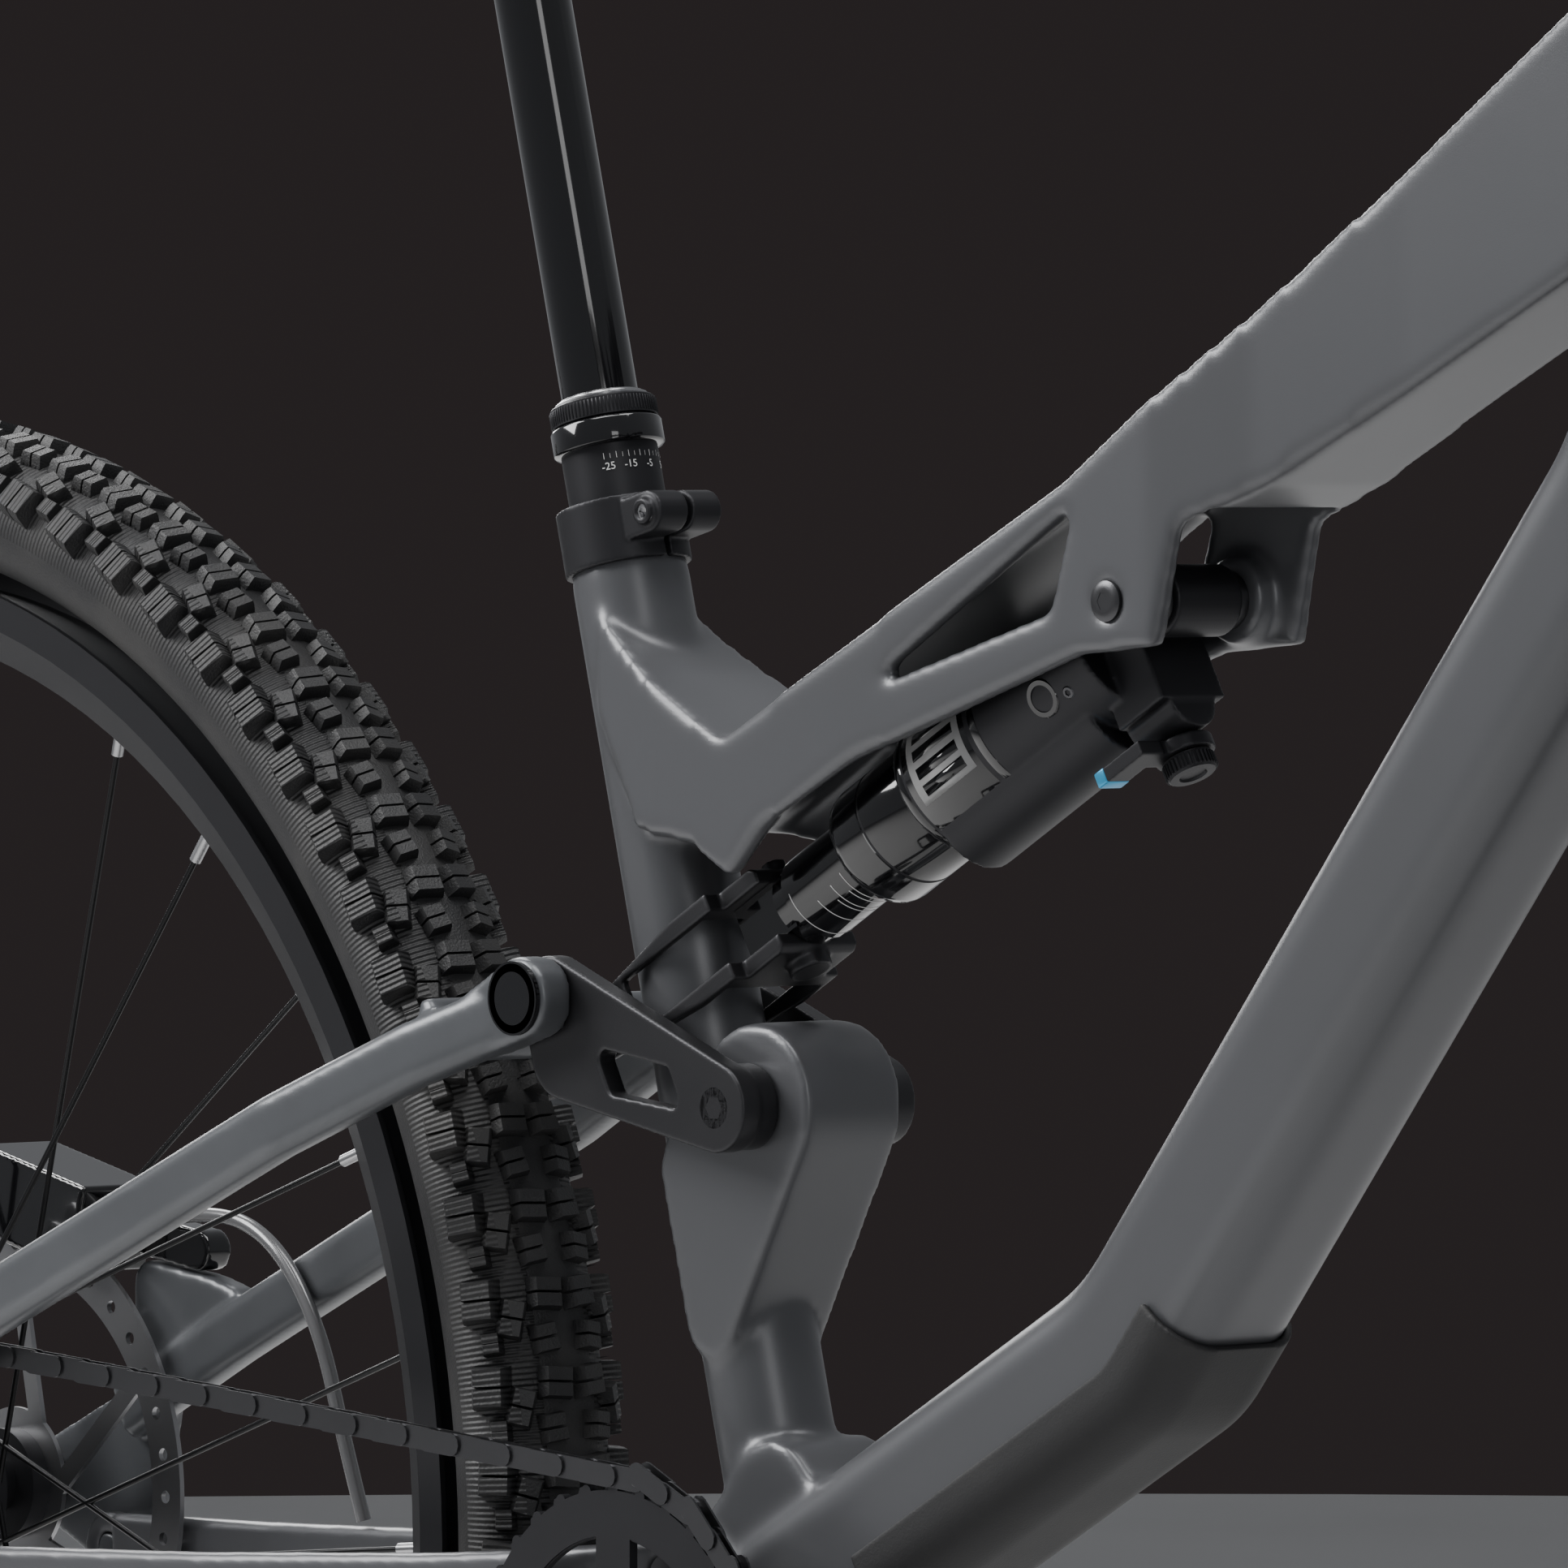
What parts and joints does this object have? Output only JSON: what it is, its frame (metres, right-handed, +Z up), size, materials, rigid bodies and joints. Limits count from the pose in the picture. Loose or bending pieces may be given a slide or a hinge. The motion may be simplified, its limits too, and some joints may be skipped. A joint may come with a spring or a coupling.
{
  "type": "mountain bike",
  "caption": "Full suspension mountain bike with a split top tube, yoked shock, rocker link and knobbly tyres.",
  "frame": {"origin": "on the ground, halfway between the two axles in the bike's middle plane", "axes": "+X forward, +Y to the rider's left, +Z up"},
  "size_m": [1.9582, 0.7916, 1.0441],
  "materials": {
    "frame_paint": "satin",
    "black_anodised": "bead blasted",
    "gloss_black": "gloss",
    "guard_rubber": "matte",
    "steel": "brushed",
    "dark_steel": "satin",
    "saddle_cover": "matte",
    "tyre_rubber": "matte",
    "black_plastic": "matte",
    "gloss_plastic": "gloss",
    "red_rubber": "satin",
    "hose_plastic": "gloss"
  },
  "bodies": {
    "frame": {"main_frame": "frame_paint", "downtube_guard": "guard_rubber", "seat_clamp": "black_anodised", "seatpost_outer": "black_anodised", "seatpost_collar": "black_anodised", "headset_cups": "black_anodised", "bottom_bracket": "black_anodised", "main_pivot_axle": "black_anodised", "shock_upper_bolt": "gloss_black"},
    "post": {"seatpost_shaft": "gloss_black", "saddle_clamp": "black_anodised", "saddle_rails": "dark_steel", "saddle": "saddle_cover"},
    "steering": {"fork_crown": "gloss_black", "stanchions": "gloss_black", "stem": "black_anodised", "handlebar": "black_anodised", "grips": "guard_rubber", "control_clamps": "black_anodised"},
    "brake_lever_left": {"brake_lever_left": "black_anodised"},
    "brake_lever_right": {"brake_lever_right": "black_anodised"},
    "shift_lever": {"shift_lever": "black_plastic"},
    "dropper_lever": {"dropper_lever": "black_plastic"},
    "fork_slider": {"fork_lowers": "gloss_black", "front_caliper": "black_anodised", "front_axle": "black_anodised"},
    "front_wheel": {"front_tyre": "tyre_rubber", "front_rim": "black_anodised", "front_spokes": "dark_steel", "front_hub": "black_anodised", "front_rotor": "steel"},
    "chainstay": {"chainstay": "frame_paint", "chain": "dark_steel"},
    "seatstay": {"seatstay": "frame_paint", "rear_axle": "black_anodised", "rear_caliper": "black_anodised", "stay_bolts": "black_anodised", "derailleur_body": "black_anodised", "rear_brake_hose": "hose_plastic"},
    "rear_wheel": {"rear_tyre": "tyre_rubber", "rear_rim": "black_anodised", "rear_spokes": "dark_steel", "rear_hub": "black_anodised", "rear_rotor": "steel"},
    "cassette": {"cassette": "steel"},
    "rocker": {"rocker_link": "black_anodised"},
    "shock": {"shock_body": "gloss_black", "sag_ring": "red_rubber"},
    "shock_slider": {"shock_shaft": "gloss_black", "yoke": "black_anodised"},
    "shock_lever": {"shock_lever": "black_anodised"},
    "rebound_knob": {"rebound_knob": "black_anodised"},
    "cranks": {"crankset": "black_anodised", "chainring": "dark_steel"},
    "pedal_left": {"pedal_left": "black_plastic"},
    "pedal_right": {"pedal_right": "black_plastic"},
    "derailleur_cage": {"derailleur_cage": "black_anodised"},
    "jockey_upper": {"jockey_upper": "black_plastic"},
    "jockey_lower": {"jockey_lower": "black_plastic"}
  },
  "joints": [
    {"name": "dropper_post", "type": "slide", "parent": "frame", "child": "post", "axis": [-0.2504, 0, 0.9681], "range_m": [-0.15, 0]},
    {"name": "steering", "type": "hinge", "parent": "frame", "child": "steering", "pos_m": [0.34386, 0, 0.846], "axis": [-0.4147, 0, 0.91], "range_deg": [-40, 40]},
    {"name": "fork_travel", "type": "slide", "parent": "steering", "child": "fork_slider", "axis": [-0.4147, 0, 0.91], "range_m": [0, 0.12], "stiffness_N_per_m": 6000, "springref_m": -0.02},
    {"name": "front_wheel_spin", "type": "hinge", "parent": "fork_slider", "child": "front_wheel", "pos_m": [0.60914, 0, 0.37], "axis": [0, 1, 0], "continuous": true},
    {"name": "rear_suspension", "type": "hinge", "parent": "frame", "child": "chainstay", "pos_m": [-0.16114, 0, 0.372], "axis": [0, 1, 0], "range_deg": [0, 11.95], "deforming": ["chain"]},
    {"name": "seatstay_pivot", "type": "hinge", "parent": "chainstay", "child": "seatstay", "pos_m": [-0.56914, 0, 0.35], "axis": [0, 1, 0], "range_deg": [-4.29, 0], "deforming": ["rear_brake_hose"]},
    {"name": "rear_wheel_spin", "type": "hinge", "parent": "seatstay", "child": "rear_wheel", "pos_m": [-0.60914, 0, 0.37], "axis": [0, 1, 0], "continuous": true},
    {"name": "cassette_spin", "type": "hinge", "parent": "seatstay", "child": "cassette", "pos_m": [-0.60914, 0, 0.37], "axis": [0, 1, 0], "continuous": true},
    {"name": "rocker_pivot", "type": "hinge", "parent": "frame", "child": "rocker", "pos_m": [-0.13954, 0, 0.5193], "axis": [0, 1, 0], "range_deg": [0, 31.18]},
    {"name": "shock_pivot", "type": "hinge", "parent": "frame", "child": "shock", "pos_m": [0.03496, 0, 0.6774], "axis": [0, 1, 0], "range_deg": [0, 4.99]},
    {"name": "shock_stroke", "type": "slide", "parent": "shock", "child": "shock_slider", "axis": [0.8719, 0, 0.4897], "range_m": [0, 0.03441]},
    {"name": "shock_lever_turn", "type": "hinge", "parent": "shock", "child": "shock_lever", "pos_m": [0.03273, 0, 0.6344], "axis": [0.4897, 0, -0.8719], "range_deg": [0, 50]},
    {"name": "rebound_knob_turn", "type": "hinge", "parent": "shock", "child": "rebound_knob", "pos_m": [0.03273, 0, 0.6344], "axis": [0.4897, 0, -0.8719], "range_deg": [-150, 150]},
    {"name": "crank_spin", "type": "hinge", "parent": "frame", "child": "cranks", "pos_m": [-0.16714, 0, 0.335], "axis": [0, 1, 0], "continuous": true},
    {"name": "pedal_left_spin", "type": "hinge", "parent": "cranks", "child": "pedal_left", "pos_m": [-0.33714, 0.14, 0.335], "axis": [0, 1, 0], "continuous": true},
    {"name": "pedal_right_spin", "type": "hinge", "parent": "cranks", "child": "pedal_right", "pos_m": [0.00286, -0.14, 0.335], "axis": [0, 1, 0], "continuous": true},
    {"name": "cage_swing", "type": "hinge", "parent": "seatstay", "child": "derailleur_cage", "pos_m": [-0.58914, 0, 0.278], "axis": [0, 1, 0], "range_deg": [-20, 15], "stiffness_Nm_per_rad": 1.5, "springref_deg": 34.38},
    {"name": "jockey_upper_spin", "type": "hinge", "parent": "derailleur_cage", "child": "jockey_upper", "pos_m": [-0.58914, -0.0518, 0.278], "axis": [0, 1, 0], "continuous": true},
    {"name": "jockey_lower_spin", "type": "hinge", "parent": "derailleur_cage", "child": "jockey_lower", "pos_m": [-0.56714, -0.0518, 0.2], "axis": [0, 1, 0], "continuous": true},
    {"name": "brake_lever_left_pull", "type": "hinge", "parent": "steering", "child": "brake_lever_left", "pos_m": [0.33873, 0.215, 1.01253], "axis": [0, 0, 1], "range_deg": [0, 14], "stiffness_Nm_per_rad": 1, "springref_deg": -5.73},
    {"name": "brake_lever_right_pull", "type": "hinge", "parent": "steering", "child": "brake_lever_right", "pos_m": [0.33873, -0.215, 1.01253], "axis": [0, 0, -1], "range_deg": [0, 14], "stiffness_Nm_per_rad": 1, "springref_deg": -5.73},
    {"name": "shift_lever_push", "type": "hinge", "parent": "steering", "child": "shift_lever", "pos_m": [0.31565, -0.18, 0.98891], "axis": [0.4961, 0, -0.8682], "range_deg": [0, 18], "stiffness_Nm_per_rad": 0.5, "springref_deg": -2.86},
    {"name": "dropper_lever_push", "type": "hinge", "parent": "steering", "child": "dropper_lever", "pos_m": [0.31565, 0.18, 0.98891], "axis": [-0.4961, 0, 0.8682], "range_deg": [0, 18], "stiffness_Nm_per_rad": 0.5, "springref_deg": -2.86}
  ],
  "couplings": [
    {"joint": "seatstay_pivot", "follows": "rear_suspension", "ratio": -0.35889},
    {"joint": "rocker_pivot", "follows": "rear_suspension", "ratio": 2.6101},
    {"joint": "shock_pivot", "follows": "rear_suspension", "ratio": 0.41734},
    {"joint": "shock_stroke", "follows": "rear_suspension", "m_per_rad": 0.16498},
    {"joint": "cassette_spin", "follows": "crank_spin", "ratio": 1.0667}
  ]
}
